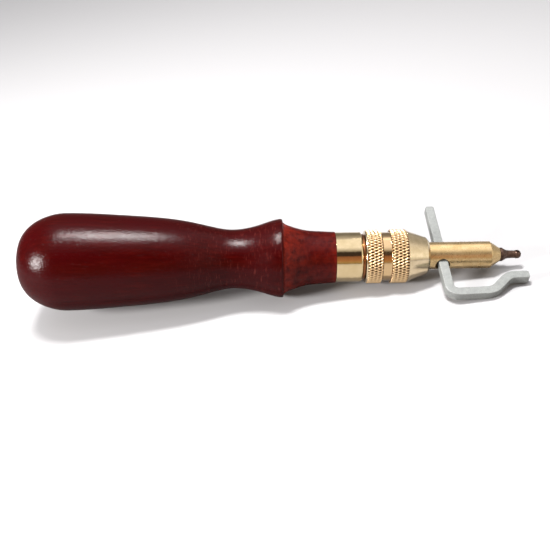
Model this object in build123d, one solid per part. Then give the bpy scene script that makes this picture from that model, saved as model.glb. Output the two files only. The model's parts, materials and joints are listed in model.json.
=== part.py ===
from build123d import *
import os
from math import asin, atan2, cos, degrees, hypot, radians, sin, sqrt, tan

os.makedirs("parts", exist_ok=True)

# A leather edge tool: a turned wooden handle with a brass collet chuck, a brass tool shaft held in
# the chuck, a black steel bit in the shaft's nose, and a steel guide arm that slides in a cross hole.
#
# Every piece is modelled along the tool's own axis: x runs from the butt of the handle, at BUTT_X, to
# the tip of the bit, -Y is the side that the guide arm's hook is on, and +Z is square to the arm's flat side.
# At the end the whole tool is laid on the bench the way it comes to rest. Sizes are millimetres.

# ---- driving dimensions -------------------------------------------------------------------------

# turned wooden handle
BUTT_X = 2.0
BELLY_X = 14.5
BELLY_R = 13.46
WAIST_X = 60.4
WAIST_R = 8.12
RIDGE_X = 73.6
RIDGE_R = 10.85
RIDGE_ROUND = 0.5
SHOULDER_X = 88.5
SHOULDER_R = 7.03

# ferrule on the handle's spigot
FERRULE_R = 6.91
FERRULE_WALL = 0.76
FERRULE_LIP = 0.6
FERRULE_END_X = 95.8
FERRULE_CHAMFER = 0.55

# chuck body: stud and sleeve in the wood, collar, threaded nose
STUD_R = 3.0
STUD_X = 72.0
STUD_CONE = (0.8, 0.5)
STUD_GROOVES = 5
SLEEVE_R = 4.7
SLEEVE_X = 87.0
COLLAR_R = 6.3
COLLAR_END_X = 96.45
THREAD_R = 5.5
NOSE_END_X = 104.0
NOSE_CHAMFER = 0.4
GLUE_GAP = 0.03

# collet, a slit ring with a cone at each end
COLLET_BACK_X = 102.5
COLLET_FRONT_X = 112.0
COLLET_R = 5.0
COLLET_BACK_R = 4.3
COLLET_FRONT_R = 4.25
COLLET_WAIST = (105.3, 107.3)
COLLET_SLOT = 0.6
CONE_GAP = 0.03

# chuck nut: two knurled bands, a groove between them and a cone in front
NUT_BACK_X = 96.55
NUT_END_X = 114.2
NUT_BAND_R = 7.38
NUT_GROOVE_R = 6.72
NUT_BACK_BAND = (97.1, 100.9)
NUT_FRONT_BAND = (103.6, 107.8)
NUT_BAND_STEP = 0.25
NUT_CONE_BACK_R = 7.08
NUT_CONE_FRONT_R = 5.15
NUT_MOUTH_R = 4.0
NUT_END_CHAMFER = (0.65, 0.75)
NUT_BACK_CHAMFER = (0.15, 0.3)
NUT_MOUTH_CHAMFER = 0.15
THREAD_CLEARANCE = 0.05

# tool shaft
SHAFT_R = 3.73
SHAFT_BACK_X = 90.0
SHAFT_BACK_CHAMFER = 0.4
SHAFT_CONE_X = 131.25
SHAFT_NOSE_X = 134.1
SHAFT_NOSE_R = 1.86
CROSS_HOLE_X = 117.85
CROSS_HOLE_R = 2.0
RUNNING_GAP = 0.03
BODY_BORE_GAP = 0.05

# bit
SHANK_R = 1.2
SHANK_BACK_X = 125.6
SHANK_GAP = 0.02
BIT_COLLAR_R = 1.9
BIT_COLLAR_LENGTH = 1.0
BIT_CONE_LENGTH = 0.9
BIT_CONE_R = 1.17
BIT_NECK_R = 1.05
BIT_EDGE = 0.15
BIT_HEAD_R = 1.2
BIT_END_X = 140.2
BIT_EYE_R = 0.42

# guide arm: one bar bent in a plane, drawn as its centre line (along the tool, out from its axis)
ARM_SIDE = 2.5
ARM_EDGE_ROUND = 0.2
ARM_LEAN = 1.8
ARM_FAR_END = 18.3
ARM_REACH = 14.05
ARM_SHOULDER = (12.1, 13.6)
ARM_KNEE = (17.1, 8.35)
ARM_TIP = 22.5
ARM_BENDS = (2.4, 4.6, 4.8)
ARM_END_CUT = 0.4

# grub screws
GUIDE_SCREW_R = 1.9
GUIDE_SCREW_LENGTH = 6.0
GUIDE_SCREW_KEY = 2.0
BIT_SCREW_R = 1.45
BIT_SCREW_LENGTH = 2.1
BIT_SCREW_KEY = 1.3
BIT_SCREW_X = 128.0
SCREW_GAP = 0.05


# ---- shared shapes ------------------------------------------------------------------------------

def turned(*outline):
    """A solid of revolution about the tool's axis, from straight runs through (x, radius) points."""
    return revolve(Plane.XZ * make_face(Polyline(*outline, close=True)), Axis.X)


def rod(radius, start, end):
    """A plain cylinder on the tool's axis."""
    return turned((start, 0), (start, radius), (end, radius), (end, 0))


def grub_screw(radius, length, key):
    """A headless screw on +Z with its tip at the origin and a hexagon socket in its top."""
    chamfer_size = 0.15 * radius
    body = Cylinder(radius, length, align=(Align.CENTER, Align.CENTER, Align.MIN))
    body = chamfer(body.edges().filter_by(GeomType.CIRCLE), chamfer_size)
    socket = extrude(RegularPolygon(key / 2, 6, major_radius=False), 0.45 * length)
    return body - Pos(0, 0, 0.55 * length) * socket


# ---- the pieces ---------------------------------------------------------------------------------

def make_handle():
    """Turned handle: domed butt, belly, waist, sharp ridge, flare to the shoulder, and a spigot."""
    ridge_front_x = RIDGE_X + RIDGE_ROUND
    crease = (ridge_front_x + 0.1, RIDGE_R - 0.95)
    dome = Spline(
        (BUTT_X, 0), (BUTT_X + 0.5, 6.7), (BUTT_X + 3.5, 10.5), (BUTT_X + 7.6, 12.6), (BELLY_X, BELLY_R),
        tangents=[(0, 1), (1, 0)],
    )
    back = Spline(
        (BELLY_X, BELLY_R), (31.2, 12.58), (48.9, 10.45), (55.6, 8.82), (WAIST_X, WAIST_R),
        tangents=[(1, 0), (1, 0)],
    )
    rise = Spline(
        (WAIST_X, WAIST_R), (67.7, 9.3), (72.2, 10.67), (RIDGE_X, RIDGE_R), tangents=[(1, 0), (1, 0)]
    )
    crest = TangentArc((RIDGE_X, RIDGE_R), (ridge_front_x, RIDGE_R - RIDGE_ROUND), tangent=(1, 0))
    step = Line((ridge_front_x, RIDGE_R - RIDGE_ROUND), crease)
    flare = Spline(
        crease, (76.6, 8.7), (79.9, 7.72), (84.4, 7.27), (SHOULDER_X, SHOULDER_R),
        tangents=[(1, -0.95), (1, -0.04)],
    )
    spigot_r = FERRULE_R - FERRULE_WALL - GLUE_GAP
    spigot_end = FERRULE_END_X - FERRULE_LIP - GLUE_GAP
    inside = Polyline(
        (SHOULDER_X, SHOULDER_R),
        (SHOULDER_X, spigot_r),
        (spigot_end, spigot_r),
        (spigot_end, SLEEVE_R + GLUE_GAP),
        (SLEEVE_X - GLUE_GAP, SLEEVE_R + GLUE_GAP),
        (SLEEVE_X - GLUE_GAP, STUD_R + GLUE_GAP),
        (STUD_X - GLUE_GAP, STUD_R + GLUE_GAP),
        (STUD_X - GLUE_GAP, 0),
        (BUTT_X, 0),
    )
    outline = make_face(Wire([*dome.edges(), *back.edges(), *rise.edges(), *crest.edges(),
                              *step.edges(), *flare.edges(), *inside.edges()]))
    return revolve(Plane.XZ * outline, Axis.X)


def make_ferrule():
    """Drawn brass cup over the spigot: a tube whose front lip covers the wood's end grain."""
    bore = FERRULE_R - FERRULE_WALL
    lip_bore = SLEEVE_R + GLUE_GAP
    lip_x = FERRULE_END_X - FERRULE_LIP
    return turned(
        (SHOULDER_X, bore),
        (SHOULDER_X, FERRULE_R),
        (FERRULE_END_X - FERRULE_CHAMFER, FERRULE_R),
        (FERRULE_END_X, FERRULE_R - FERRULE_CHAMFER),
        (FERRULE_END_X, lip_bore),
        (lip_x, lip_bore),
        (lip_x, bore),
    )


def seat_radius(x):
    """Radius of the chuck body's inner cone, which the collet's back cone runs in."""
    slope = (COLLET_R - COLLET_BACK_R) / (COLLET_WAIST[0] - COLLET_BACK_X)
    return COLLET_BACK_R + CONE_GAP + slope * (x - COLLET_BACK_X)


def make_chuck_body():
    """Grooved stud and sleeve in the wood, a collar, and a threaded nose with the collet's seat."""
    bore = SHAFT_R + BODY_BORE_GAP
    bore_end = SHAFT_BACK_X - 0.5
    drill_point = 1.5
    seat_x = COLLET_BACK_X - 0.1
    cone_length, cone_depth = STUD_CONE
    body = turned(
        (STUD_X, 0),
        (STUD_X, STUD_R - cone_depth),
        (STUD_X + cone_length, STUD_R),
        (SLEEVE_X, STUD_R),
        (SLEEVE_X, SLEEVE_R),
        (FERRULE_END_X, SLEEVE_R),
        (FERRULE_END_X, COLLAR_R),
        (COLLAR_END_X, COLLAR_R),
        (COLLAR_END_X, THREAD_R),
        (NOSE_END_X - NOSE_CHAMFER, THREAD_R),
        (NOSE_END_X, THREAD_R - NOSE_CHAMFER),
        (NOSE_END_X, seat_radius(NOSE_END_X)),
        (seat_x, seat_radius(seat_x)),
        (seat_x, bore),
        (bore_end, bore),
        (bore_end - drill_point, 0),
    )
    first_groove = STUD_X + 3.0
    groove_pitch = 2.4
    groove_half = 0.5
    groove_depth = 0.45
    for number in range(STUD_GROOVES):
        x = first_groove + number * groove_pitch
        body -= turned(
            (x - groove_half, STUD_R + 0.1),
            (x, STUD_R - groove_depth),
            (x + groove_half, STUD_R + 0.1),
        )
    return body


def make_collet():
    """Slit ring with a cone at each end; two slots run in from each end, a quarter turn apart."""
    bore = SHAFT_R + RUNNING_GAP
    ring = turned(
        (COLLET_BACK_X, bore),
        (COLLET_BACK_X, COLLET_BACK_R),
        (COLLET_WAIST[0], COLLET_R),
        (COLLET_WAIST[1], COLLET_R),
        (COLLET_FRONT_X, COLLET_FRONT_R),
        (COLLET_FRONT_X, bore),
    )
    uncut = 1.6
    slot_length = COLLET_FRONT_X - COLLET_BACK_X - uncut
    slot = Box(slot_length, 3 * COLLET_R, COLLET_SLOT)
    front_x = COLLET_FRONT_X - slot_length / 2
    back_x = COLLET_BACK_X + slot_length / 2
    return ring - Pos(front_x, 0, 0) * slot - Pos(back_x, 0, 0) * Rot(90, 0, 0) * slot


def make_chuck_nut():
    """Closing nut: two bands with a groove between, a cone in front, and a cone seat inside."""
    wall = 0.17
    rim = 0.35
    thread_chamfer = 0.3
    back_r = NUT_BAND_R - NUT_BAND_STEP
    slope = (COLLET_R - COLLET_FRONT_R) / (COLLET_FRONT_X - COLLET_WAIST[1])
    seat_end = COLLET_FRONT_X + 0.3
    seat_end_r = COLLET_R + CONE_GAP - slope * (seat_end - COLLET_WAIST[1])
    counterbore_end = NOSE_END_X + 1.5
    thread_bore = THREAD_R + THREAD_CLEARANCE
    return turned(
        (NUT_BACK_X, back_r - NUT_BACK_CHAMFER[1]),
        (NUT_BACK_X + NUT_BACK_CHAMFER[0], back_r),
        (NUT_BACK_BAND[0] - NUT_BAND_STEP, back_r),
        (NUT_BACK_BAND[0], NUT_BAND_R),
        (NUT_BACK_BAND[1], NUT_BAND_R),
        (NUT_BACK_BAND[1] + wall, NUT_GROOVE_R),
        (NUT_FRONT_BAND[0] - wall, NUT_GROOVE_R),
        (NUT_FRONT_BAND[0], NUT_BAND_R),
        (NUT_FRONT_BAND[1], NUT_BAND_R),
        (NUT_FRONT_BAND[1] + rim, NUT_CONE_BACK_R),
        (NUT_END_X - NUT_END_CHAMFER[0], NUT_CONE_FRONT_R),
        (NUT_END_X, NUT_CONE_FRONT_R - NUT_END_CHAMFER[1]),
        (NUT_END_X, NUT_MOUTH_R + NUT_MOUTH_CHAMFER),
        (NUT_END_X - NUT_MOUTH_CHAMFER, NUT_MOUTH_R),
        (seat_end, NUT_MOUTH_R),
        (seat_end, seat_end_r),
        (COLLET_WAIST[1], COLLET_R + CONE_GAP),
        (counterbore_end, COLLET_R + CONE_GAP),
        (counterbore_end, thread_bore),
        (NUT_BACK_X + thread_chamfer, thread_bore),
        (NUT_BACK_X, thread_bore + thread_chamfer),
    )


def make_tool_shaft():
    """Brass barrel with a coned nose, a cross hole for the guide arm, and bores for its screws."""
    shaft = turned(
        (SHAFT_BACK_X, 0),
        (SHAFT_BACK_X, SHAFT_R - SHAFT_BACK_CHAMFER),
        (SHAFT_BACK_X + SHAFT_BACK_CHAMFER, SHAFT_R),
        (SHAFT_CONE_X, SHAFT_R),
        (SHAFT_NOSE_X, SHAFT_NOSE_R),
        (SHAFT_NOSE_X, 0),
    )
    screw_bore = rod(GUIDE_SCREW_R + SCREW_GAP, SHAFT_BACK_X, CROSS_HOLE_X)
    space_behind_bit = 0.6
    bit_bore = rod(SHANK_R + SHANK_GAP, SHANK_BACK_X - space_behind_bit, SHAFT_NOSE_X)
    cross_hole = Pos(CROSS_HOLE_X, 0, 0) * Rot(90, 0, 0) * Cylinder(CROSS_HOLE_R, 4 * SHAFT_R)
    side_bore = Pos(BIT_SCREW_X, 0, -SHAFT_R) * Cylinder(BIT_SCREW_R + SCREW_GAP, 2 * SHAFT_R)
    return shaft - screw_bore - bit_bore - cross_hole - side_bore


def arm_centre_line():
    """Corners of the guide arm's centre line: x along the tool, then how far out from its axis."""
    lean = tan(radians(ARM_LEAN))
    corners = [(-ARM_FAR_END * lean, -ARM_FAR_END), (ARM_REACH * lean, ARM_REACH)]
    corners += [ARM_SHOULDER, ARM_KNEE, (ARM_TIP, ARM_KNEE[1])]
    return [(CROSS_HOLE_X + along, out) for along, out in corners]


def make_guide_arm():
    """Square bar through the cross hole, bent forward and then stepped in beside the bit."""
    path = FilletPolyline(*[(x, -out, 0) for x, out in arm_centre_line()], radius=ARM_BENDS)
    ends = [Plane(path @ end, x_dir=(0, 0, 1), z_dir=path % end) for end in (0, 1)]
    arm = sweep(ends[0] * RectangleRounded(ARM_SIDE, ARM_SIDE, ARM_EDGE_ROUND), path)
    cut = Rot(45, 0, 0) * Box(2 * ARM_SIDE, ARM_END_CUT * sqrt(2), ARM_END_CUT * sqrt(2))
    for end in ends:
        for side in (-ARM_SIDE / 2, ARM_SIDE / 2):
            arm -= end * Pos(0, side, 0) * cut
    return arm


def make_guide_lock_screw():
    """Grub screw on the shaft's axis, turned from the shaft's back end against the guide arm."""
    tip_x = CROSS_HOLE_X - ARM_SIDE / 2 / cos(radians(ARM_LEAN)) - 2 * SCREW_GAP
    screw = grub_screw(GUIDE_SCREW_R, GUIDE_SCREW_LENGTH, GUIDE_SCREW_KEY)
    return Pos(tip_x, 0, 0) * Rot(0, -90, 0) * screw


def make_bit():
    """Steel bit: plain shank, collar with a coned front, slim neck and a round head with an eye."""
    collar_end = SHAFT_NOSE_X + BIT_COLLAR_LENGTH
    cone_start = collar_end - 2 * BIT_EDGE
    cone_end = collar_end + BIT_CONE_LENGTH
    head_x = BIT_END_X - BIT_HEAD_R
    neck_end = head_x - sqrt(BIT_HEAD_R ** 2 - BIT_NECK_R ** 2)
    shaft_side = Polyline(
        (SHANK_BACK_X, 0),
        (SHANK_BACK_X, SHANK_R - BIT_EDGE),
        (SHANK_BACK_X + BIT_EDGE, SHANK_R),
        (SHAFT_NOSE_X, SHANK_R),
        (SHAFT_NOSE_X, BIT_COLLAR_R - BIT_EDGE),
        (SHAFT_NOSE_X + BIT_EDGE, BIT_COLLAR_R),
        (cone_start, BIT_COLLAR_R),
        (cone_end, BIT_CONE_R),
    )
    neck = Spline((cone_end, BIT_CONE_R), (neck_end, BIT_NECK_R), tangents=[(1, -0.12), (1, 0)])
    head = ThreePointArc((neck_end, BIT_NECK_R), (head_x, BIT_HEAD_R), (BIT_END_X, 0))
    base = Line((BIT_END_X, 0), (SHANK_BACK_X, 0))
    outline = make_face(Wire([*shaft_side.edges(), *neck.edges(), *head.edges(), *base.edges()]))
    eye = Pos(head_x, 0, 0) * Cylinder(BIT_EYE_R, 4 * BIT_HEAD_R)
    return revolve(Plane.XZ * outline, Axis.X) - eye


def make_bit_lock_screw():
    """Small grub screw in the side of the shaft's nose, against the bit's shank."""
    screw = grub_screw(BIT_SCREW_R, BIT_SCREW_LENGTH, BIT_SCREW_KEY)
    return Pos(BIT_SCREW_X, 0, -SHANK_R - SCREW_GAP) * Rot(180, 0, 0) * screw


# ---- how the tool lies on the bench -------------------------------------------------------------

def nose_dip():
    """Angle in radians that the axis dips, from the ridge's round crest to the nut's front band."""
    run = NUT_FRONT_BAND[1] - RIDGE_X
    drop = RIDGE_R - RIDGE_ROUND - NUT_BAND_R
    return atan2(drop, run) + asin(RIDGE_ROUND / hypot(run, drop))


def shoulder_bend_centre():
    """Centre of the arm's second bend, the one that touches the bench."""
    corner, shoulder, knee = [Vector(x, out) for x, out in arm_centre_line()[1:4]]
    into = (shoulder - corner).normalized()
    onward = (knee - shoulder).normalized()
    half_turn = radians(into.get_angle(onward) / 2)
    return shoulder + (onward - into).normalized() * (ARM_BENDS[1] / cos(half_turn))


def hook_roll(dip):
    """Angle in radians that the tool rolls about its axis until the guide arm touches the bench."""
    centre = shoulder_bend_centre()
    slope = tan(dip)
    bend = ARM_BENDS[1] + ARM_SIDE / 2 - ARM_EDGE_ROUND
    half_side = ARM_SIDE / 2 - ARM_EDGE_ROUND
    room = NUT_BAND_R + NUT_FRONT_BAND[1] * slope - centre.X * slope - ARM_EDGE_ROUND * hypot(1, slope)
    roll = 0.0
    for _ in range(40):
        out = room - bend * hypot(slope, sin(roll)) - half_side * cos(roll)
        roll = asin(out / centre.Y)
    return roll


def resting_place(pieces):
    """Location that lays the tool on the bench, with the origin under the middle of its box."""
    dip = nose_dip()
    turn = Rot(0, degrees(dip), 0) * Rot(degrees(hook_roll(dip)), 0, 0)
    height = NUT_FRONT_BAND[1] * sin(dip) + NUT_BAND_R * cos(dip)
    box = Compound([turn * piece for piece in pieces]).bounding_box()
    middle = box.center()
    return Pos(-middle.X, -middle.Y, height) * turn


MAKERS = {
    "handle": make_handle,
    "ferrule": make_ferrule,
    "chuck_body": make_chuck_body,
    "collet": make_collet,
    "chuck_nut": make_chuck_nut,
    "tool_shaft": make_tool_shaft,
    "guide_arm": make_guide_arm,
    "guide_lock_screw": make_guide_lock_screw,
    "bit": make_bit,
    "bit_lock_screw": make_bit_lock_screw,
}

pieces = {name: make() for name, make in MAKERS.items()}
resting = resting_place(pieces.values())
for name, piece in pieces.items():
    placed = resting * piece
    placed.label = name
    export_step(placed, f"parts/{name}.step")
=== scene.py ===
import json
import math

import bpy
import numpy as np
from mathutils import Matrix, Vector


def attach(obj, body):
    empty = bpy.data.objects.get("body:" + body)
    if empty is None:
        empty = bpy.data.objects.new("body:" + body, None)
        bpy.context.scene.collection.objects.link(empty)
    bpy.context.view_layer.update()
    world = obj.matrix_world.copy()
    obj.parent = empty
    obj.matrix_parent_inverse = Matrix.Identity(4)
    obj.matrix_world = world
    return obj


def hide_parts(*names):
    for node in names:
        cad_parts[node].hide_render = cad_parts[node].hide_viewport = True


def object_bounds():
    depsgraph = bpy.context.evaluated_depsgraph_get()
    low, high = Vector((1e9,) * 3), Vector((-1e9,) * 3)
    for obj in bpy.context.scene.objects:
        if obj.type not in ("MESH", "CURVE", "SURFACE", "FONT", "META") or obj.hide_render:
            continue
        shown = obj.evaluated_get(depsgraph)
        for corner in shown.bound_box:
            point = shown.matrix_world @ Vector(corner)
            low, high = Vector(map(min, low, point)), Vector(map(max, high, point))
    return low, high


# Looks for the leather edge tool. Shapes are modelled in the tool's own coordinates, in millimetres:
# x runs along the axis from the butt of the handle, at BUTT_X, to the tip of the bit, -y is the side of
# the guide arm's hook and +z is square to the arm's flat side. TOOL carries them into the frame, in metres.

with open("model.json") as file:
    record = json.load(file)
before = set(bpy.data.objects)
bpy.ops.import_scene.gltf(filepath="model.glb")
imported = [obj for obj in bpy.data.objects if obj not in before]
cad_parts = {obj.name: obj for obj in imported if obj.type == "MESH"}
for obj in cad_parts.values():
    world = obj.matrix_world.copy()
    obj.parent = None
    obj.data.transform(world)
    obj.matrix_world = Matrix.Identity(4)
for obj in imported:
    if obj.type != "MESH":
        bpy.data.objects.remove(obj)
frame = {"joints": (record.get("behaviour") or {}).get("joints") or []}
cad_low, cad_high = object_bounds()

MM = 0.001
joints = {joint["name"]: joint for joint in frame["joints"]}

# ---- the tool's axis, from the frame's joints ---------------------------------------------------

NUT_JOINT_X = 105.5
along = Vector(joints["shaft_slide"]["axis"])
upward = -Vector(joints["bit_screw_turn"]["axis"])
sideways = upward.cross(along)
origin = Vector(joints["nut_turn"]["pos_m"]) - along * NUT_JOINT_X * MM
AXES = Matrix((along, sideways, upward)).transposed()
TOOL = Matrix.Translation(origin) @ AXES.to_4x4() @ Matrix.Scale(MM, 4)

# ---- sizes in millimetres -----------------------------------------------------------------------

BUTT_X = 2.0
BELLY = (14.5, 13.46)
WAIST = (60.4, 8.12)
RIDGE = (73.6, 10.85)
RIDGE_ROUND = 0.5
SHOULDER = (88.5, 7.03)
FERRULE_R = 6.91
FERRULE_WALL = 0.76
FERRULE_END = 95.8
FERRULE_LIP = 0.6
STUD = (72.0, 3.0)
SLEEVE = (87.0, 4.7)
GAP = 0.03
COLLAR_R = 6.3
COLLAR_END = 96.45
THREAD_R = 5.5
THREAD_PITCH = 1.0
THREAD_DEPTH = 0.45
NOSE_END = 104.0
BODY_SEAT = (102.4, 4.3)
BODY_SEAT_FRONT_R = 4.7
COLLET_R = 5.0
COLLET_BACK = (102.5, 4.3)
COLLET_FRONT = (112.0, 4.25)
COLLET_WAIST = (105.3, 107.3)
COLLET_UNCUT = 1.6
COLLET_SLOT = 0.6
NUT_BACK = 96.55
NUT_END = 114.2
BAND_R = 7.38
GROOVE_R = 6.72
BANDS = ((97.1, 100.9), (103.6, 107.8))
CONE_R = (7.08, 5.15)
MOUTH_R = 4.0
NUT_SEAT = (112.3, 4.3)
THREAD_BORE_GAP = 0.05
KNURLS = 54
KNURL_PITCH = 2.08
KNURL_DEPTH = 0.42
# the knurling starts KNURL_LEAD before a band, ends KNURL_TAIL after it and fades over KNURL_FADE
KNURL_LEAD = 0.15
KNURL_TAIL = 0.3
KNURL_FADE = 0.08
# a ridge rises from its foot to its crest over these shares of the pattern
KNURL_FOOT = 0.38
KNURL_RISE = 0.55
SHAFT_R = 3.73
SHAFT_BACK = 90.0
SHAFT_CONE = 131.25
NOSE = (134.1, 1.86)
CROSS_HOLE_X = 117.85
CROSS_HOLE_R = 2.0
ARM_SIDE = 2.5
ARM_EDGE = 0.2
ARM_LEAN = math.tan(math.radians(1.8))
ARM_FAR_END = 18.3
ARM_REACH = 14.05
ARM_SHOULDER = (12.1, 13.6)
ARM_KNEE = (17.1, 8.35)
ARM_TIP = 22.5
ARM_BENDS = (2.4, 4.6, 4.8)
ARM_END_CUT = 0.4
SHANK_R = 1.2
BIT_COLLAR_R = 1.9
BIT_NECK_R = 1.05
BIT_HEAD_R = 1.2
BIT_END = 140.2
BIT_EYE_R = 0.42
BIT_SCREW_X = 128.0


# ---- outlines -----------------------------------------------------------------------------------

def spline(points, start, end, count):
    """Smooth curve through points with the given end directions, as count + 1 points."""
    points = np.array(points, float)
    reach = np.concatenate([[0], np.cumsum(np.linalg.norm(np.diff(points, axis=0), axis=1))])
    step = np.diff(reach)
    n = len(points)
    system = np.zeros((n, n))
    right = np.zeros((n, 2))
    system[0, 0] = system[-1, -1] = 1
    right[0] = np.array(start) / np.linalg.norm(start)
    right[-1] = np.array(end) / np.linalg.norm(end)
    for i in range(1, n - 1):
        system[i, i - 1:i + 2] = step[i], 2 * (step[i - 1] + step[i]), step[i - 1]
        rise_before = (points[i] - points[i - 1]) / step[i - 1]
        rise_after = (points[i + 1] - points[i]) / step[i]
        right[i] = 3 * (step[i] * rise_before + step[i - 1] * rise_after)
    slope = np.linalg.solve(system, right)
    made = []
    for t in np.linspace(0, reach[-1], count + 1):
        i = min(int(np.searchsorted(reach, t, side="right")) - 1, n - 2)
        u = (t - reach[i]) / step[i]
        made.append(
            (2 * u**3 - 3 * u**2 + 1) * points[i] + (u**3 - 2 * u**2 + u) * step[i] * slope[i]
            + (3 * u**2 - 2 * u**3) * points[i + 1] + (u**3 - u**2) * step[i] * slope[i + 1]
        )
    return [tuple(p) for p in made]


def rounded(points, radius, steps=4, closed=True):
    """The outline with each corner turned into an arc. A point may give a radius of its own."""
    made = []
    count = len(points)
    for i, point in enumerate(points):
        corner = np.array(point[:2], float)
        if not closed and i in (0, count - 1):
            made.append(tuple(corner))
            continue
        into = np.array(points[i - 1][:2]) - corner
        onward = np.array(points[(i + 1) % count][:2]) - corner
        shortest = min(np.linalg.norm(into), np.linalg.norm(onward))
        into = into / np.linalg.norm(into)
        onward = onward / np.linalg.norm(onward)
        half = math.acos(np.clip(into @ onward, -1, 1)) / 2
        if abs(half - math.pi / 2) < 0.01:
            made.append(tuple(corner))
            continue
        size = point[2] if len(point) > 2 else radius
        tangent = min(size / math.tan(half), 0.45 * shortest)
        size = tangent * math.tan(half)
        middle = corner + (into + onward) / np.linalg.norm(into + onward) * size / math.sin(half)
        first = corner + into * tangent - middle
        last = corner + onward * tangent - middle
        turn = math.atan2(first[0] * last[1] - first[1] * last[0], first @ last)
        for share in np.linspace(0, 1, steps + 1):
            c, s = math.cos(turn * share), math.sin(turn * share)
            made.append((middle[0] + c * first[0] - s * first[1], middle[1] + s * first[0] + c * first[1]))
    return made


def fine(points, start, end, step):
    """The outline with extra points along x between start and end, where its runs are longer than step."""
    made = []
    for a, b in zip(points, points[1:] + points[:1]):
        made.append(a)
        inside = min(a[0], b[0]) > start - 0.01 and max(a[0], b[0]) < end + 0.01
        if inside and a[1] > THREAD_R - 0.01 and abs(b[0] - a[0]) > step:
            extra = int(abs(b[0] - a[0]) / step)
            made += [(a[0] + (b[0] - a[0]) * k / (extra + 1), a[1] + (b[1] - a[1]) * k / (extra + 1))
                     for k in range(1, extra + 1)]
    return made


# ---- meshes -------------------------------------------------------------------------------------

def area_normals(points, faces):
    """Vertex normals in which each face counts by its area, so that broad faces shade flat."""
    normals = np.zeros_like(points)
    for size in (3, 4):
        picked = np.array([f for f in faces if len(f) == size], int).reshape(-1, size)
        if not len(picked):
            continue
        corners = points[picked]
        if size == 3:
            across = np.cross(corners[:, 1] - corners[:, 0], corners[:, 2] - corners[:, 0])
        else:
            across = np.cross(corners[:, 2] - corners[:, 0], corners[:, 3] - corners[:, 1])
        for k in range(size):
            np.add.at(normals, picked[:, k], across)
    lengths = np.linalg.norm(normals, axis=1, keepdims=True)
    return normals / np.maximum(lengths, 1e-12)


def build(name, points, faces):
    """Object from points in tool millimetres. Its materials read the same millimetres as tool_mm."""
    points = np.array(points, float)
    mesh = bpy.data.meshes.new(name)
    placed = points @ np.array(TOOL.to_3x3()).T + np.array(TOOL.translation)
    mesh.from_pydata(placed.tolist(), [], faces)
    mesh.shade_smooth()
    mark_tool_mm(mesh)
    thing = bpy.data.objects.new(name, mesh)
    bpy.context.scene.collection.objects.link(thing)
    return thing


def mark_tool_mm(mesh):
    """Stores each point's place in tool millimetres on the mesh, for the materials to read."""
    back = np.array(TOOL.inverted())
    places = np.zeros(len(mesh.vertices) * 3)
    mesh.vertices.foreach_get("co", places)
    local = places.reshape(-1, 3) @ back[:3, :3].T + back[:3, 3]
    attribute = mesh.attributes.get("tool_mm") or mesh.attributes.new("tool_mm", "FLOAT_VECTOR", "POINT")
    attribute.data.foreach_set("vector", local.astype(np.float32).ravel())


def lathe(name, outline, segments, closed=True, push=None):
    """Turned body about the tool's axis. An open outline starts and ends on the axis."""
    outline = np.array(outline, float)
    poles = [] if closed else [outline[0], outline[-1]]
    rings = outline if closed else outline[1:-1]
    angle = np.linspace(0, 2 * math.pi, segments, endpoint=False)
    x = np.repeat(rings[:, :1], segments, axis=1)
    radius = np.repeat(rings[:, 1:], segments, axis=1)
    turn = np.repeat(angle[None, :], len(rings), axis=0)
    if push:
        radius = radius + push(x, radius, turn)
    points = np.stack([x, radius * np.cos(turn), radius * np.sin(turn)], -1).reshape(-1, 3)
    points = np.vstack([points, [[p[0], 0, 0] for p in poles]]) if poles else points
    faces = []
    last = len(rings) if closed else len(rings) - 1
    for row in range(last):
        here, there = row * segments, (row + 1) % len(rings) * segments
        for k in range(segments):
            after = (k + 1) % segments
            faces.append((here + k, here + after, there + after, there + k))
    if poles:
        first_pole, last_pole = len(rings) * segments, len(rings) * segments + 1
        end = (len(rings) - 1) * segments
        for k in range(segments):
            after = (k + 1) % segments
            faces.append((first_pole, after, k))
            faces.append((last_pole, end + k, end + after))
    thing = build(name, points, faces)
    smooth_by_area(thing)
    return thing


def smooth_by_area(thing):
    """Gives the mesh its area-weighted normals, and turns it outside out if it came inside out."""
    mesh = thing.data
    if signed_volume(mesh) < 0:
        mesh.flip_normals()
    points = np.array([v.co for v in mesh.vertices])
    faces = [tuple(p.vertices) for p in mesh.polygons]
    mesh.normals_split_custom_set_from_vertices(area_normals(points, faces).tolist())


def signed_volume(mesh):
    """Volume that the mesh encloses, negative where its faces look inwards."""
    mesh.calc_loop_triangles()
    corners = np.array([[mesh.vertices[v].co for v in t.vertices] for t in mesh.loop_triangles])
    return float(np.einsum("ij,ij->i", corners[:, 0], np.cross(corners[:, 1], corners[:, 2])).sum()) / 6


def drilled(thing, cutters):
    """Cuts the holes and shades the result smooth up to its edges."""
    bpy.context.view_layer.objects.active = thing
    for cutter in cutters:
        cut = thing.modifiers.new("cut", "BOOLEAN")
        cut.object = cutter
        cut.operation = "DIFFERENCE"
        cut.solver = "EXACT"
    mesh = bpy.data.meshes.new_from_object(thing.evaluated_get(bpy.context.evaluated_depsgraph_get()))
    thing.modifiers.clear()
    thing.data = mesh
    for cutter in cutters:
        bpy.data.objects.remove(cutter)
    mark_tool_mm(mesh)
    shade_edges(thing, 32)
    return thing


def shade_edges(thing, degrees):
    """Smooth shading that keeps edges sharper than the angle, and shades broad faces flat."""
    thing.data.set_sharp_from_angle(angle=math.radians(degrees))
    weighted = thing.modifiers.new("flat faces", "WEIGHTED_NORMAL")
    weighted.keep_sharp = True


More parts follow.
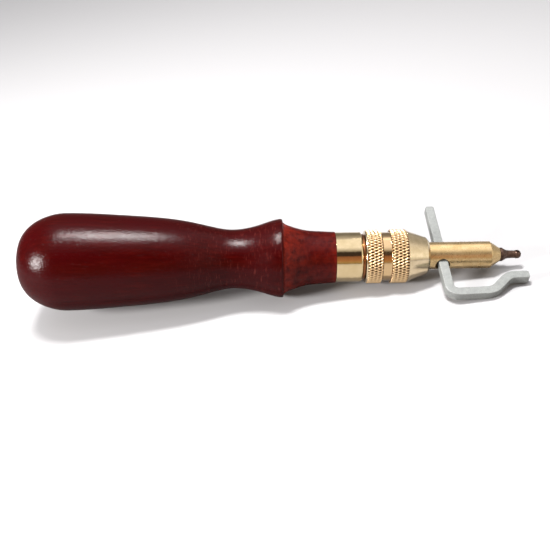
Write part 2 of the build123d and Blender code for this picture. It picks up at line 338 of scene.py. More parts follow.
def pin(name, middle, direction, radius, length, segments=64):
    """Plain round cutter, in tool millimetres."""
    direction = Vector(direction).normalized()
    across = direction.orthogonal().normalized()
    other = direction.cross(across)
    points = []
    for end in (-length / 2, length / 2):
        for k in range(segments):
            t = 2 * math.pi * k / segments
            spot = Vector(middle) + direction * end + (across * math.cos(t) + other * math.sin(t)) * radius
            points.append(tuple(spot))
    faces = [(k, (k + 1) % segments, segments + (k + 1) % segments, segments + k) for k in range(segments)]
    faces.append(tuple(reversed(range(segments))))
    faces.append(tuple(range(segments, 2 * segments)))
    return build(name, points, faces)


def slab(name, low, high):
    """Plain box cutter between two corners, in tool millimetres."""
    points = [(x, y, z) for x in (low[0], high[0]) for y in (low[1], high[1]) for z in (low[2], high[2])]
    faces = [(0, 1, 3, 2), (4, 6, 7, 5), (0, 4, 5, 1), (2, 3, 7, 6), (0, 2, 6, 4), (1, 5, 7, 3)]
    return build(name, points, faces)


# ---- the pieces ---------------------------------------------------------------------------------

def make_handle():
    """Turned wooden handle, with the spigot and bores that the brass sits on."""
    crest_end = (RIDGE[0] + RIDGE_ROUND, RIDGE[1] - RIDGE_ROUND)
    crease = (crest_end[0] + 0.1, RIDGE[1] - 0.95)
    dome = [(BUTT_X, 0), (BUTT_X + 0.5, 6.7), (BUTT_X + 3.5, 10.5), (BUTT_X + 7.6, 12.6), BELLY]
    back = [BELLY, (31.2, 12.58), (48.9, 10.45), (55.6, 8.82), WAIST]
    rise = [WAIST, (67.7, 9.3), (72.2, 10.67), RIDGE]
    flare = [crease, (76.6, 8.7), (79.9, 7.72), (84.4, 7.27), SHOULDER]
    outline = spline(dome, (0, 1), (1, 0), 40)
    outline += spline(back, (1, 0), (1, 0), 48)[1:]
    outline += spline(rise, (1, 0), (1, 0), 20)[1:]
    for t in np.linspace(0, math.pi / 2, 6)[1:]:
        outline.append((RIDGE[0] + RIDGE_ROUND * math.sin(t), RIDGE[1] - RIDGE_ROUND * (1 - math.cos(t))))
    outline += spline(flare, (1, -0.95), (1, -0.04), 24)[:-1]
    spigot = FERRULE_R - FERRULE_WALL - GAP
    spigot_end = FERRULE_END - FERRULE_LIP - GAP
    inside = [
        (SHOULDER[0] - 0.5, SHOULDER[1] + 0.02),
        (SHOULDER[0], SHOULDER[1], 0.15),
        (SHOULDER[0], spigot),
        (spigot_end, spigot),
        (spigot_end, SLEEVE[1] + GAP),
        (SLEEVE[0] - GAP, SLEEVE[1] + GAP),
        (SLEEVE[0] - GAP, STUD[1] + GAP),
        (STUD[0] - GAP, STUD[1] + GAP),
        (STUD[0] - GAP, 0),
    ]
    return lathe("handle_wood", outline + rounded(inside, 0.1, 3, closed=False), 192, closed=False)


def make_ferrule():
    """Drawn brass cup with a softly rounded front edge."""
    bore = FERRULE_R - FERRULE_WALL
    outline = [
        (SHOULDER[0], bore),
        (SHOULDER[0], FERRULE_R, 0.06),
        (FERRULE_END, FERRULE_R, 0.7),
        (FERRULE_END, SLEEVE[1] + GAP),
        (FERRULE_END - FERRULE_LIP, SLEEVE[1] + GAP),
        (FERRULE_END - FERRULE_LIP, bore),
    ]
    return lathe("ferrule_brass", rounded(outline, 0.1, 8), 192)


def thread(x, radius, turn):
    """Helical thread on the chuck body's nose."""
    height = np.abs(2 * ((x / THREAD_PITCH - turn / (2 * math.pi)) % 1) - 1)
    run_in = np.clip((x - COLLAR_END - 0.3) / 0.4, 0, 1) * np.clip((NOSE_END - 0.3 - x) / 0.4, 0, 1)
    return -THREAD_DEPTH * height * run_in * (np.abs(radius - THREAD_R) < 0.02)


def make_chuck_body():
    """Stud and sleeve in the wood, the collar behind the nut, and the threaded nose."""
    stud_x, stud_r = STUD
    bore = SHAFT_R + 0.05
    first_groove, groove_pitch, groove_depth = 3.0, 2.4, 0.45
    outline = [(stud_x, 0), (stud_x, stud_r - 0.5), (stud_x + 0.8, stud_r)]
    for number in range(5):
        x = stud_x + first_groove + groove_pitch * number
        outline += [(x - 0.5, stud_r), (x, stud_r - groove_depth), (x + 0.5, stud_r)]
    outline += [
        (SLEEVE[0], stud_r),
        SLEEVE,
        (FERRULE_END, SLEEVE[1]),
        (FERRULE_END, COLLAR_R, 0.12),
        (COLLAR_END, COLLAR_R, 0.2),
        (COLLAR_END, THREAD_R),
        (NOSE_END - 0.4, THREAD_R),
        (NOSE_END, THREAD_R - 0.4),
        (NOSE_END, BODY_SEAT_FRONT_R),
        BODY_SEAT,
        (BODY_SEAT[0], bore),
        (SHAFT_BACK - 0.5, bore),
        (SHAFT_BACK - 2.0, 0),
    ]
    outline = fine(rounded(outline, 0.08, 3, closed=False), COLLAR_END, NOSE_END, 0.08)
    return lathe("chuck_body_brass", outline, 96, closed=False, push=thread)


def triangle(t):
    """Rises from 0 at each whole number to 1 half way to the next."""
    return 1 - np.abs(2 * (t % 1) - 1)


def knurl(x, radius, turn):
    """Knurling of the nut's two bands: two crossing families of helical ridges with pits between."""
    offset = np.zeros_like(radius)
    around = KNURLS * turn / (2 * math.pi)
    for start, end in BANDS:
        outer = (radius > GROOVE_R + 0.2) & (x > start - KNURL_LEAD) & (x < end + KNURL_TAIL)
        axial = (x - start) / KNURL_PITCH
        ridge = np.maximum(triangle(around + axial), triangle(around - axial))
        ridge = np.sin(np.clip((ridge - KNURL_FOOT) / KNURL_RISE, 0, 1) * math.pi / 2)
        fade = np.clip(np.minimum(x - start + KNURL_LEAD, end + KNURL_TAIL - x) / KNURL_FADE, 0, 1)
        offset -= outer * KNURL_DEPTH * (1 - ridge) * fade
    return offset


def make_nut():
    """Chuck nut with its knurled bands, groove, cone and inner seat."""
    (back_start, back_end), (front_start, front_end) = BANDS
    outline = [
        (NUT_BACK, THREAD_R + 0.35),
        (NUT_BACK, BAND_R - 0.25, 0.6),
        (back_start - 0.12, BAND_R - 0.25),
        (back_start, BAND_R),
        (back_end, BAND_R, 0.12),
        (back_end + 0.15, GROOVE_R, 0.12),
        (front_start - 0.15, GROOVE_R, 0.12),
        (front_start, BAND_R, 0.12),
        (front_end, BAND_R, 0.12),
        (front_end + 0.35, CONE_R[0], 0.1),
        (NUT_END - 0.65, CONE_R[1], 0.35),
        (NUT_END, CONE_R[1] - 0.75),
        (NUT_END, MOUTH_R + 0.15),
        (NUT_END - 0.15, MOUTH_R),
        (NUT_SEAT[0], MOUTH_R),
        NUT_SEAT,
        (COLLET_WAIST[1], COLLET_R + GAP),
        (NOSE_END + 1.5, COLLET_R + GAP),
        (NOSE_END + 1.5, THREAD_R + THREAD_BORE_GAP),
        (NUT_BACK + 0.3, THREAD_R + THREAD_BORE_GAP),
    ]
    outline = rounded(outline, 0.08, 5)
    for start, end in BANDS:
        outline = fine(outline, start - 0.2, end + 0.2, 0.11)
    return lathe("chuck_nut_brass", outline, 10 * KNURLS, push=knurl)


def make_shaft():
    """Satin brass barrel, drilled across for the guide arm, from behind and in front for its screws."""
    outline = [
        (SHAFT_BACK, 0),
        (SHAFT_BACK, SHAFT_R - 0.4),
        (SHAFT_BACK + 0.4, SHAFT_R),
        (SHAFT_CONE, SHAFT_R, 0.5),
        (*NOSE, 0.12),
        (NOSE[0], 0),
    ]
    shaft = lathe("tool_shaft_brass", rounded(outline, 0.1, 5, closed=False), 160, closed=False)
    cutters = [
        pin("cross", (CROSS_HOLE_X, 0, 0), (0, 1, 0), CROSS_HOLE_R, 12, 96),
        pin("screw_bore", (103.0, 0, 0), (1, 0, 0), 1.95, 29.3),
        pin("bit_bore", (130.0, 0, 0), (1, 0, 0), 1.22, 10),
        pin("side_bore", (BIT_SCREW_X, 0, -2.5), (0, 0, 1), 1.5, 5),
    ]
    return drilled(shaft, cutters)


def arm_stations():
    """Points along the guide arm's centre line: place, direction and how far the ends' cuts trim it."""
    corners = [(-ARM_FAR_END * ARM_LEAN, -ARM_FAR_END), (ARM_REACH * ARM_LEAN, ARM_REACH)]
    corners += [ARM_SHOULDER, ARM_KNEE, (ARM_TIP, ARM_KNEE[1])]
    corners = [np.array((CROSS_HOLE_X + forward, -out)) for forward, out in corners]
    end_steps = (0.0, 0.06, ARM_END_CUT, ARM_END_CUT + 0.15)
    into = (corners[1] - corners[0]) / np.linalg.norm(corners[1] - corners[0])
    stations = [(corners[0] + into * d, into, max(0.0, ARM_END_CUT - d)) for d in end_steps]
    for corner, radius, following in zip(corners[1:-1], ARM_BENDS, corners[2:]):
        onward = (following - corner) / np.linalg.norm(following - corner)
        half = math.acos(np.clip(into @ onward, -1, 1)) / 2
        centre = corner + (onward - into) / np.linalg.norm(onward - into) * radius / math.cos(half)
        first = corner - into * radius * math.tan(half) - centre
        sign = math.copysign(1, into[0] * onward[1] - into[1] * onward[0])
        for t in np.linspace(0, 2 * half * sign, 15):
            c, s = math.cos(t), math.sin(t)
            spin = np.array(((c, -s), (s, c)))
            stations.append((centre + spin @ first, spin @ into, 0.0))
        into = onward
    stations += [(corners[-1] - into * d, into, max(0.0, ARM_END_CUT - d)) for d in reversed(end_steps)]
    return stations


def make_arm():
    """Square bar swept along its centre line, with soft edges and cut corners at both ends."""
    flat = ARM_SIDE / 2 - ARM_EDGE
    section = []
    for quarter, (sx, sz) in enumerate(((1, 1), (-1, 1), (-1, -1), (1, -1))):
        for t in np.linspace(0, math.pi / 2, 5) + math.pi / 2 * quarter:
            section.append((sx * flat + ARM_EDGE * math.cos(t), sz * flat + ARM_EDGE * math.sin(t)))
    points = []
    for place, direction, trim in arm_stations():
        for across, out in section:
            across = math.copysign(min(abs(across), ARM_SIDE / 2 - trim), across)
            points.append((place[0] - direction[1] * across, place[1] + direction[0] * across, out))
    around = len(section)
    rows = len(points) // around
    faces = []
    for row in range(0, (rows - 1) * around, around):
        for k in range(around):
            after = (k + 1) % around
            faces.append((row + k, row + after, row + around + after, row + around + k))
    faces.append(tuple(reversed(range(around))))
    faces.append(tuple(range((rows - 1) * around, rows * around)))
    arm = build("guide_arm_steel", points, faces)
    if signed_volume(arm.data) < 0:
        arm.data.flip_normals()
    shade_edges(arm, 40)
    return arm


def make_bit():
    """Oxide-black bit: shank, coned collar, slim neck and a round head with its cutting eye."""
    collar_end = NOSE[0] + 1.0
    head_x = BIT_END - BIT_HEAD_R
    neck_end = head_x - math.sqrt(BIT_HEAD_R**2 - BIT_NECK_R**2)
    outline = rounded([
        (125.6, 0),
        (125.6, SHANK_R - 0.15),
        (125.75, SHANK_R),
        (NOSE[0], SHANK_R),
        (NOSE[0], BIT_COLLAR_R - 0.15),
        (NOSE[0] + 0.15, BIT_COLLAR_R),
        (collar_end - 0.3, BIT_COLLAR_R, 0.3),
        (collar_end + 0.9, BIT_NECK_R + 0.12),
    ], 0.06, 4, closed=False)
    neck = [(collar_end + 0.9, BIT_NECK_R + 0.12), (neck_end, BIT_NECK_R)]
    outline += spline(neck, (1, -0.12), (1, 0.0), 12)[1:]
    start = math.atan2(BIT_NECK_R, neck_end - head_x)
    for t in np.linspace(start, 0, 20)[1:-1]:
        outline.append((head_x + BIT_HEAD_R * math.cos(t), BIT_HEAD_R * math.sin(t)))
    outline.append((BIT_END, 0))
    bit = lathe("bit_steel", outline, 72, closed=False)
    return drilled(bit, [pin("eye", (head_x, 0, 0), (0, 0, 1), BIT_EYE_R, 5, 32)])


def make_collet():
    """Slit ring with a cone at each end. Two slots run in from each end, a quarter turn apart."""
    back, front = COLLET_BACK[0], COLLET_FRONT[0]
    bore = SHAFT_R + GAP
    outline = [
        (back, bore),
        COLLET_BACK,
        (COLLET_WAIST[0], COLLET_R, 0.3),
        (COLLET_WAIST[1], COLLET_R, 0.3),
        COLLET_FRONT,
        (front, bore),
    ]
    collet = lathe("collet_brass", rounded(outline, 0.08, 4), 144)
    half = COLLET_SLOT / 2
    slots = [
        slab("front_slot", (back + COLLET_UNCUT, -7, -half), (front + 1, 7, half)),
        slab("back_slot", (back - 1, -half, -7), (front - COLLET_UNCUT, half, 7)),
    ]
    return drilled(collet, slots)


def make_grub_screw(name, radius, length, key, pitch, tip, direction):
    """Threaded headless screw with a hexagon socket, its tip at a place and its socket along direction."""
    chamfer = 0.15 * radius
    outline = [(0, 0), (0, radius - 2.2 * chamfer), (chamfer, radius - chamfer)]
    outline += [(x, radius) for x in np.arange(2 * chamfer, length - 2 * chamfer, pitch / 8)]
    outline += [(length - chamfer, radius - 0.3 * chamfer), (length, radius - chamfer)]
    outline += [(length, 0.62 * key), (length - 0.06 * key, 0.58 * key), (length - 0.06 * key, 0)]

    def screw_thread(x, at, turn):
        height = np.abs(2 * ((x / pitch - turn / (2 * math.pi)) % 1) - 1)
        return -0.5 * pitch * height * (at > radius - 0.01)

    screw = lathe(name, outline, 72, closed=False, push=screw_thread)
    socket = pin("socket", (length, 0, 0), (1, 0, 0), key / math.sqrt(3), 0.9 * length, 6)
    drilled(screw, [socket])
    local = Vector((1, 0, 0)).rotation_difference(Vector(direction)).to_matrix().to_4x4()
    screw.data.transform(TOOL @ Matrix.Translation(tip) @ local @ TOOL.inverted())
    mark_tool_mm(screw.data)
    return screw


def make_guide_screw():
    """Grub screw on the shaft's axis, behind the guide arm."""
    tip_x = CROSS_HOLE_X - ARM_SIDE / 2 * math.hypot(1, ARM_LEAN) - 0.1
    tip = (tip_x, 0, 0)
    return make_grub_screw(
        "guide_screw_steel", radius=1.9, length=6.0, key=2.0, pitch=0.7, tip=tip, direction=(-1, 0, 0)
    )


def make_bit_screw():
    """Small grub screw in the side of the shaft's nose."""
    tip = (BIT_SCREW_X, 0, -SHANK_R - 0.05)
    return make_grub_screw(
        "bit_screw_steel", radius=1.45, length=2.1, key=1.3, pitch=0.5, tip=tip, direction=(0, 0, -1)
    )


# ---- materials ----------------------------------------------------------------------------------

# ramps along the tool read x / RAMP_SPAN, because a ramp runs from 0 to 1
RAMP_SPAN = 100.0


class Surface:
    """A Principled material whose patterns are laid out in tool millimetres."""

    def __init__(self, name, **sockets):
        self.material = bpy.data.materials.new(name)
        self.material.use_nodes = True
        self.tree = self.material.node_tree
        self.shader = self.tree.nodes["Principled BSDF"]
        self.place = self.add("ShaderNodeAttribute")
        self.place.attribute_name = "tool_mm"
        for socket, value in sockets.items():
            self.shader.inputs[socket.replace("_", " ")].default_value = value

    def add(self, kind, **settings):
        node = self.tree.nodes.new(kind)
        for key, value in settings.items():
            setattr(node, key, value)
        return node

    def link(self, source, target):
        self.tree.links.new(source, target)

    def stretched(self, stretch):
        """Tool millimetres scaled on each axis."""
        node = self.add("ShaderNodeMapping")
        self.link(self.place.outputs["Vector"], node.inputs["Vector"])
        node.inputs["Scale"].default_value = stretch
        return node.outputs["Vector"]

    def noise(self, scale, detail=4.0, stretch=(1, 1, 1), roughness=0.55):
        node = self.add("ShaderNodeTexNoise")
        node.inputs["Scale"].default_value = scale
        node.inputs["Detail"].default_value = detail
        node.inputs["Roughness"].default_value = roughness
        self.link(self.stretched(stretch), node.inputs["Vector"])
        return node.outputs["Fac"]

    def ramp(self, factor, *stops):
        """Colours or greys along factor, as (position, value) stops."""
        node = self.add("ShaderNodeValToRGB")
        self.link(factor, node.inputs["Fac"])
        band = node.color_ramp
        while len(band.elements) < len(stops):
            band.elements.new(1.0)
        for element, (position, value) in zip(band.elements, stops):
            element.position = position
            element.color = (*value, 1) if isinstance(value, tuple) else (value, value, value, 1)
        return node.outputs["Color"]

    def mix(self, factor, a, b):
        node = self.add("ShaderNodeMix", data_type="RGBA")
        for source, index in ((factor, 0), (a, 6), (b, 7)):
            if isinstance(source, (int, float)):
                node.inputs[index].default_value = source
            elif isinstance(source, tuple):
                node.inputs[index].default_value = (*source, 1)
            else:
                self.link(source, node.inputs[index])
        return node.outputs[2]

    def maths(self, operation, a, b=None):
        node = self.add("ShaderNodeMath", operation=operation)
        for source, index in ((a, 0), (b, 1)):
            if source is None:
                continue
            if isinstance(source, (int, float)):
                node.inputs[index].default_value = source
            else:
                self.link(source, node.inputs[index])
        return node.outputs[0]

    def part(self, axis):
        """One coordinate of the place, in millimetres."""
        node = self.add("ShaderNodeSeparateXYZ")
        self.link(self.place.outputs["Vector"], node.inputs[0])
        return node.outputs[axis]

    def radius(self):
        """Distance from the tool's axis, in millimetres."""
        y, z = self.part("Y"), self.part("Z")
        squares = self.maths("ADD", self.maths("MULTIPLY", y, y), self.maths("MULTIPLY", z, z))
        return self.maths("SQRT", squares)

    def bump(self, *layers):
        """Stacks (height, strength, distance in metres) layers into one normal."""
        normal = None
        for height, strength, distance in layers:
            node = self.add("ShaderNodeBump")
            node.inputs["Strength"].default_value = strength
            node.inputs["Distance"].default_value = distance
            self.link(height, node.inputs["Height"])
            if normal:
                self.link(normal, node.inputs["Normal"])
            normal = node.outputs["Normal"]
        return normal

    def set(self, socket, source):
        self.link(source, self.shader.inputs[socket])


def lacquered_wood():
    """Dark red lacquer over fine-grained wood: rubbed edges, faint scuffs at the waist, grainy gloss."""
    s = Surface(
        "lacquered_wood", Specular_IOR_Level=0.0, Coat_Weight=0.19, Coat_IOR=1.45, Coat_Roughness=0.18
    )
    grain = s.noise(1.0, 6, (0.10, 1.3, 1.3), 0.65)
    pores = s.noise(1.0, 2, (0.35, 4.0, 4.0))
    cloud = s.noise(0.10, 4)
    wood = s.ramp(
        grain,
        (0.30, (0.013, 0.0003, 0.0003)),
        (0.50, (0.018, 0.0004, 0.0003)),
        (0.70, (0.027, 0.0010, 0.0007)),
    )
    deep = s.mix(s.ramp(cloud, (0.38, 0.0), (0.62, 0.8)), wood, (0.018, 0.0003, 0.0006))
    worn = s.maths("MULTIPLY", rubbed_edges(s), s.ramp(s.noise(0.6, 4), (0.32, 0.2), (0.62, 1.0)))
    coloured = s.mix(worn, deep, (0.150, 0.0110, 0.0050))
    along_tool = s.maths("DIVIDE", s.part("X"), RAMP_SPAN)
    waist = s.ramp(along_tool, (0.40, 0.0), (0.55, 1.0), (0.72, 1.0), (0.90, 0.5))
    scuffs = s.ramp(s.noise(1.0, 4, (2.4, 0.4, 0.4), 0.7), (0.56, 0.0), (0.68, 0.6))
    coloured = s.mix(s.maths("MULTIPLY", waist, scuffs), coloured, (0.062, 0.0100, 0.0080))
    s.set("Base Color", s.mix(s.ramp(pores, (0.28, 0.5), (0.40, 0.0)), coloured, (0.010, 0.0003, 0.0003)))
    s.set("Roughness", s.ramp(cloud, (0.3, 0.45), (0.7, 0.6)))
    scratch = s.ramp(s.noise(1.0, 2, (0.5, 7.0, 2.2), 0.3), (0.72, 0.0), (0.75, 1.0))
    gloss = s.bump(
        (s.noise(0.8, 3), 0.35, 0.0001),
        (s.noise(2.4, 2, (0.7, 1, 1)), 1.0, 0.00007),
        (scratch, 0.5, 0.00006),
    )
    s.set("Coat Normal", gloss)
    s.set("Normal", s.bump((grain, 0.3, 0.0001)))
    return s.material


def rubbed_edges(s):
    """How far the lacquer is rubbed through to warm wood: at the ridge, its flare and the shoulder."""
    return s.ramp(
        s.maths("DIVIDE", s.part("X"), RAMP_SPAN),
        (0.0, 0.0),
        (0.739, 0.0),
        (0.743, 0.85),
        (0.77, 0.45),
        (0.81, 0.16),
        (0.87, 0.20),
        (0.885, 0.45),
    )


def polished_brass():
    """Mirror brass with faint polishing rings and a breath of haze."""
    s = Surface("polished_brass", Metallic=1.0)
    rings = s.noise(1.0, 3, (14.0, 0.25, 0.25), 0.7)
    s.set("Base Color", s.ramp(s.noise(0.5, 4), (0.3, (0.50, 0.385, 0.21)), (0.7, (0.57, 0.445, 0.26))))
    s.set("Roughness", s.ramp(s.noise(1.1, 4, (1.5, 0.6, 0.6)), (0.3, 0.05), (0.75, 0.12)))
    s.set("Normal", s.bump((rings, 0.1, 0.00002), (s.noise(0.5, 2), 0.2, 0.0001)))
    return s.material


def nut_brass():
    """Pale polished brass with a groove made darker and redder by painted shade. The knurling's ridges are
    bright, its pits dark.
    """
    s = Surface("nut_brass", Metallic=1.0)
    x = s.part("X")
    in_bands = s.maths("ADD", *[
        s.maths(
            "MULTIPLY",
            s.maths("GREATER_THAN", x, start - 0.1),
            s.maths("LESS_THAN", x, end + KNURL_TAIL),
        )
        for start, end in BANDS
    ])
    smooth = s.ramp(s.noise(0.8, 4), (0.3, (0.53, 0.42, 0.26)), (0.7, (0.62, 0.50, 0.33)))
    # painted shade: the groove between the two bands is coloured darker and redder than the rest of the
    # smooth brass
    past_back = s.maths("GREATER_THAN", x, BANDS[0][1])
    before_front = s.maths("LESS_THAN", x, BANDS[1][0])
    groove_painted_shade = s.maths("MULTIPLY", past_back, before_front)
    smooth = s.mix(groove_painted_shade, smooth, (0.52, 0.36, 0.19))
    bright = s.mix(in_bands, smooth, (0.56, 0.40, 0.225))
    # the knurling's pits are coloured darker and made rougher towards their bottoms
    depth = s.ramp(s.maths("SUBTRACT", s.radius(), BAND_R - 1), (0.66, 1.0), (0.92, 0.0))
    pit_darkening = s.maths("MULTIPLY", depth, in_bands)
    s.set("Base Color", s.mix(pit_darkening, bright, (0.060, 0.024, 0.009)))
    worn = s.ramp(s.noise(1.3, 4), (0.3, 0.12), (0.75, 0.20))
    s.set("Roughness", s.mix(pit_darkening, s.mix(in_bands, worn, (0.3, 0.3, 0.3)), (0.6, 0.6, 0.6)))
    s.set("Normal", s.bump((s.noise(1.0, 3, (16.0, 0.3, 0.3), 0.7), 0.15, 0.00002)))
    return s.material


def turned_brass():
    """Brass as it left the lathe, with fine rings; painted shade makes the collar behind the nut dark."""
    s = Surface("turned_brass", Metallic=1.0)
    rings = s.noise(1.0, 3, (12.0, 0.3, 0.3), 0.7)
    plain = s.ramp(s.noise(0.7, 5), (0.3, (0.36, 0.20, 0.08)), (0.7, (0.52, 0.34, 0.15)))
    # painted shade: the collar in the gap between the ferrule and the nut is coloured dark brown, for the
    # shadow in that gap
    collar_painted_shade = s.ramp(
        s.maths("SUBTRACT", s.part("X"), FERRULE_END - 0.3),
        (0.2, 0.0),
        (0.3, 0.9),
        (0.9, 0.9),
        (1.0, 0.0),
    )
    s.set("Base Color", s.mix(collar_painted_shade, plain, (0.17, 0.055, 0.022)))
    s.set("Roughness", s.ramp(rings, (0.3, 0.22), (0.7, 0.36)))
    s.set("Normal", s.bump((rings, 0.3, 0.00003)))
    return s.material


def shaft_brass():
    """Satin brass barrel: fine turning rings, soft tarnished blotches."""
    s = Surface("shaft_brass", Metallic=0.96)
    rings = s.noise(1.0, 4, (9.0, 0.22, 0.22), 0.75)
    colour = s.ramp(
        s.noise(0.45, 5, (0.7, 1, 1)),
        (0.30, (0.44, 0.305, 0.14)),
        (0.55, (0.52, 0.375, 0.19)),
        (0.75, (0.59, 0.445, 0.25)),
    )
    s.set("Base Color", s.mix(s.ramp(rings, (0.35, 0.0), (0.7, 0.4)), colour, (0.37, 0.24, 0.11)))
    s.set("Roughness", s.ramp(s.noise(1.6, 5), (0.3, 0.25), (0.75, 0.34)))
    fine_rings = s.noise(1.0, 2, (26.0, 0.4, 0.4), 0.7)
    s.set("Normal", s.bump(
        (rings, 0.25, 0.00003),
        (fine_rings, 0.3, 0.00001),
        (s.noise(3.0, 3), 0.15, 0.00002),
    ))
    return s.material


def grey_steel():
    """Fine-grained matte plated steel, mottled, with faint streaks along its side faces."""
    s = Surface("grey_steel", Metallic=0.25)
    mottle = s.noise(1.1, 6)
    grain = s.noise(4.0, 3)
    colour = s.ramp(mottle, (0.3, (0.14, 0.147, 0.142)), (0.7, (0.205, 0.215, 0.206)))
    s.set("Base Color", s.mix(s.ramp(grain, (0.36, 0.5), (0.62, 0.0)), colour, (0.10, 0.108, 0.103)))
    s.set("Roughness", s.ramp(mottle, (0.3, 0.42), (0.7, 0.58)))
    streaks = s.noise(1.0, 4, (0.6, 0.6, 7.0))
    s.set("Normal", s.bump((grain, 0.5, 0.00003), (streaks, 0.2, 0.00004), (s.noise(2.2, 3), 0.2, 0.00004)))
    return s.material


def black_bit_steel():
    """Brown-black oxide on ground steel."""
    s = Surface("black_bit_steel", Metallic=0.85)
    s.set("Base Color", s.ramp(s.noise(1.5, 5), (0.3, (0.040, 0.022, 0.015)), (0.7, (0.105, 0.062, 0.046))))
    s.set("Roughness", s.ramp(s.noise(4.0, 4), (0.3, 0.30), (0.7, 0.48)))
    s.set("Normal", s.bump((s.noise(8.0, 3), 0.4, 0.00002), (s.noise(1.0, 3, (14, 0.5, 0.5)), 0.3, 0.00002)))
    return s.material


def black_screw_steel():
    """Black oxide grub screws with a dull sheen."""
    s = Surface("black_screw_steel", Metallic=0.8)
    s.set("Base Color", s.ramp(s.noise(2.0, 4), (0.3, (0.016, 0.016, 0.018)), (0.7, (0.05, 0.05, 0.055))))
    s.set("Roughness", s.ramp(s.noise(5.0, 3), (0.3, 0.32), (0.7, 0.5)))
    s.set("Normal", s.bump((s.noise(12.0, 3), 0.4, 0.00001)))
    return s.material


# ---- assembly -----------------------------------------------------------------------------------

MATERIALS = {
    "lacquered_wood": lacquered_wood(),
    "polished_brass": polished_brass(),
    "turned_brass": turned_brass(),
    "nut_brass": nut_brass(),
    "shaft_brass": shaft_brass(),
    "grey_steel": grey_steel(),
    "black_bit_steel": black_bit_steel(),
    "black_screw_steel": black_screw_steel(),
}
MADE = (
    # maker, CAD node, body and material
    (make_handle, "handle", "handle_assembly", "lacquered_wood"),
    (make_ferrule, "ferrule", "handle_assembly", "polished_brass"),
    (make_chuck_body, "chuck_body", "handle_assembly", "turned_brass"),
    (make_collet, "collet", "collet", "turned_brass"),
    (make_nut, "chuck_nut", "nut", "nut_brass"),
    (make_shaft, "tool_shaft", "shaft", "shaft_brass"),
    (make_arm, "guide_arm", "guide", "grey_steel"),
    (make_guide_screw, "guide_lock_screw", "guide_screw", "black_screw_steel"),
    (make_bit, "bit", "bit", "black_bit_steel"),
    (make_bit_screw, "bit_lock_screw", "bit_screw", "black_screw_steel"),
)
for maker, node, body, slot in MADE:
    thing = maker()
    thing.data.materials.clear()
    thing.data.materials.append(MATERIALS[slot])
    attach(thing, body)
    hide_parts(node)


# ---- stage: floor, light and camera -------------------------------------------------------------

def make_floor():
    """Plain pale floor, just under the tool."""
    reach = 3.0
    height = cad_low.z - 0.00002
    mesh = bpy.data.meshes.new("floor")
    corners = [(-reach, -reach), (reach, -reach), (reach, reach), (-reach, reach)]
    mesh.from_pydata([(x, y, height) for x, y in corners], [], [(0, 1, 2, 3)])
    floor = bpy.data.objects.new("floor", mesh)
    bpy.context.scene.collection.objects.link(floor)
    paper = bpy.data.materials.new("floor_paper")
    paper.use_nodes = True
    shader = paper.node_tree.nodes["Principled BSDF"]
    shader.inputs["Base Color"].default_value = (0.31, 0.31, 0.315, 1)
    shader.inputs["Roughness"].default_value = 0.8
    mesh.materials.append(paper)


def area_light(name, place, target, size, power, colour):
    """Oval soft light aimed at a point, in metres."""
    data = bpy.data.lights.new(name, "AREA")
    data.shape = "ELLIPSE"
    data.size, data.size_y = size
    data.energy = power
    data.color = colour
    light = bpy.data.objects.new(name, data)
    bpy.context.scene.collection.objects.link(light)
    light.location = place
    light.rotation_mode = "QUATERNION"
    light.rotation_quaternion = (Vector(target) - Vector(place)).to_track_quat("-Z", "Y")


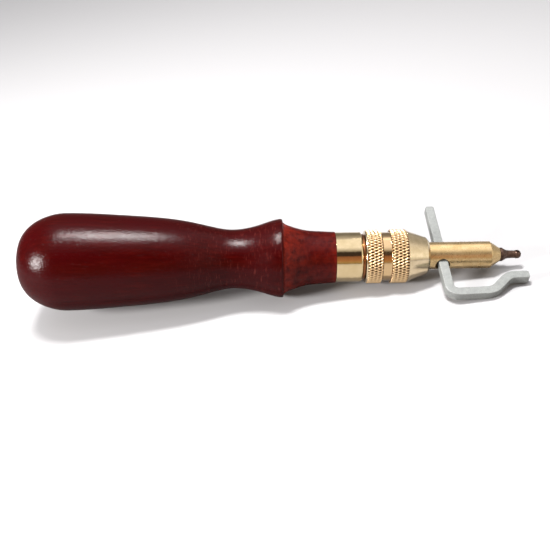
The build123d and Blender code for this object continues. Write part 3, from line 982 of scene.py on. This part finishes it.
def make_world():
    """Room light by elevation: a warm low wall and a dim band behind the camera, a bright ceiling, a grey
    far wall, and bright sides."""
    world = bpy.data.worlds.new("studio")
    bpy.context.scene.world = world
    world.use_nodes = True
    tree = world.node_tree

    def maths(operation, a, b=None, c=None):
        node = tree.nodes.new("ShaderNodeMath")
        node.operation = operation
        for source, index in ((a, 0), (b, 1), (c, 2)):
            if isinstance(source, (int, float)):
                node.inputs[index].default_value = source
            elif source is not None:
                tree.links.new(source, node.inputs[index])
        return node.outputs[0]

    def ramp(factor, stops, scale=1.0):
        node = tree.nodes.new("ShaderNodeValToRGB")
        tree.links.new(factor, node.inputs["Fac"])
        band = node.color_ramp
        while len(band.elements) < len(stops):
            band.elements.new(1.0)
        for element, (position, colour) in zip(band.elements, stops):
            element.position = position / scale
            element.color = (*colour, 1)
        return node.outputs["Color"]

    parts = tree.nodes.new("ShaderNodeSeparateXYZ")
    tree.links.new(tree.nodes.new("ShaderNodeTexCoord").outputs["Generated"], parts.inputs[0])
    x, y, z = parts.outputs
    # share of the way from the near horizon, over the top, to the far horizon
    over = maths("DIVIDE", maths("ARCTAN2", z, maths("MULTIPLY", y, -1.0)), math.pi)
    middle = ramp(over, (
        (0, (0.58, 0.44, 0.22)),
        (8, (0.72, 0.46, 0.23)),
        (12, (0.72, 0.36, 0.17)),
        (31, (0.50, 0.22, 0.12)),
        (36, (0.08, 0.055, 0.045)),
        (52, (0.08, 0.06, 0.05)),
        (59, (0.75, 0.73, 0.72)),
        (75, (1.75, 1.77, 1.90)),
        (116, (1.75, 1.77, 1.90)),
        (128, (0.90, 0.90, 0.96)),
        (143, (0.55, 0.54, 0.55)),
        (156, (0.33, 0.32, 0.31)),
        (180, (0.36, 0.35, 0.34)),
    ), 180)
    sides = ramp(over, (
        (0, (0.80, 0.76, 0.68)),
        (10, (1.25, 1.21, 1.13)),
        (20, (1.70, 1.66, 1.58)),
        (60, (1.45, 1.40, 1.31)),
        (95, (1.15, 1.11, 1.06)),
        (115, (0.75, 0.73, 0.69)),
        (140, (0.60, 0.58, 0.55)),
        (180, (0.70, 0.68, 0.65)),
    ), 180)
    aside = ramp(maths("ABSOLUTE", x), ((0.30, (0, 0, 0)), (0.55, (1, 1, 1))))
    dimmer = ramp(maths("MULTIPLY_ADD", x, 0.5, 0.5), ((0.3, (0.45, 0.45, 0.45)), (0.7, (1, 1, 1))))
    dimmed = tree.nodes.new("ShaderNodeMix")
    dimmed.data_type = "RGBA"
    dimmed.blend_type = "MULTIPLY"
    dimmed.inputs[0].default_value = 1.0
    tree.links.new(sides, dimmed.inputs[6])
    tree.links.new(dimmer, dimmed.inputs[7])
    both = tree.nodes.new("ShaderNodeMix")
    both.data_type = "RGBA"
    tree.links.new(aside, both.inputs[0])
    tree.links.new(middle, both.inputs[6])
    tree.links.new(dimmed.outputs[2], both.inputs[7])
    tree.links.new(both.outputs[2], tree.nodes["Background"].inputs["Color"])


def make_camera():
    """Camera 216 mm from the tool: it looks 48.8 degrees above the way the guide arm's hook points."""
    above_hook = math.radians(48.8)
    yaw = math.radians(0.5)
    roll = math.radians(0.995)
    distance = 216.07
    drop = 4.64
    aim_x = 71.9
    focal_pixels = 780
    frame_pixels = 550
    c, s = math.cos(yaw), math.sin(yaw)
    turn_yaw = np.array(((c, -s, 0), (s, c, 0), (0, 0, 1)))
    c, s = math.cos(roll), math.sin(roll)
    turn_roll = np.array(((c, 0, -s), (0, 1, 0), (s, 0, c)))
    c, s = math.cos(above_hook), math.sin(above_hook)
    tilt = np.array(((1, 0, 0), (0, c, -s), (0, s, c)))
    rows = turn_roll @ turn_yaw @ tilt
    right, forward, up = (AXES @ Vector(row) for row in rows)
    eye = rows.T @ -np.array((0, distance, drop)) + np.array((aim_x, 0, 0))
    data = bpy.data.cameras.new("camera")
    data.sensor_width = 36
    data.lens = data.sensor_width * focal_pixels / frame_pixels
    data.clip_start = 0.01
    camera = bpy.data.objects.new("camera", data)
    bpy.context.scene.collection.objects.link(camera)
    camera.rotation_mode = "QUATERNION"
    camera.location = TOOL @ Vector(eye)
    camera.rotation_quaternion = Matrix((right, up, -forward)).transposed().to_quaternion()
    bpy.context.scene.camera = camera


make_floor()
make_world()
area_light(
    "overhead",
    place=(-0.032, 0.032, 0.455),
    target=(-0.02, 0, 0.015),
    size=(0.16, 0.08),
    power=4.8,
    colour=(1.0, 0.98, 0.97),
)
area_light(
    "left",
    place=(-0.297, -0.163, 0.134),
    target=(-0.068, 0, 0.018),
    size=(0.08, 0.10),
    power=3.3,
    colour=(1.0, 0.97, 0.96),
)
area_light(
    "far",
    place=(0.20, 0.24, 0.36),
    target=(0.05, 0, 0.008),
    size=(0.18, 0.18),
    power=0.1,
    colour=(1.0, 0.98, 0.95),
)
make_camera()
bpy.context.scene.view_settings.view_transform = "Standard"
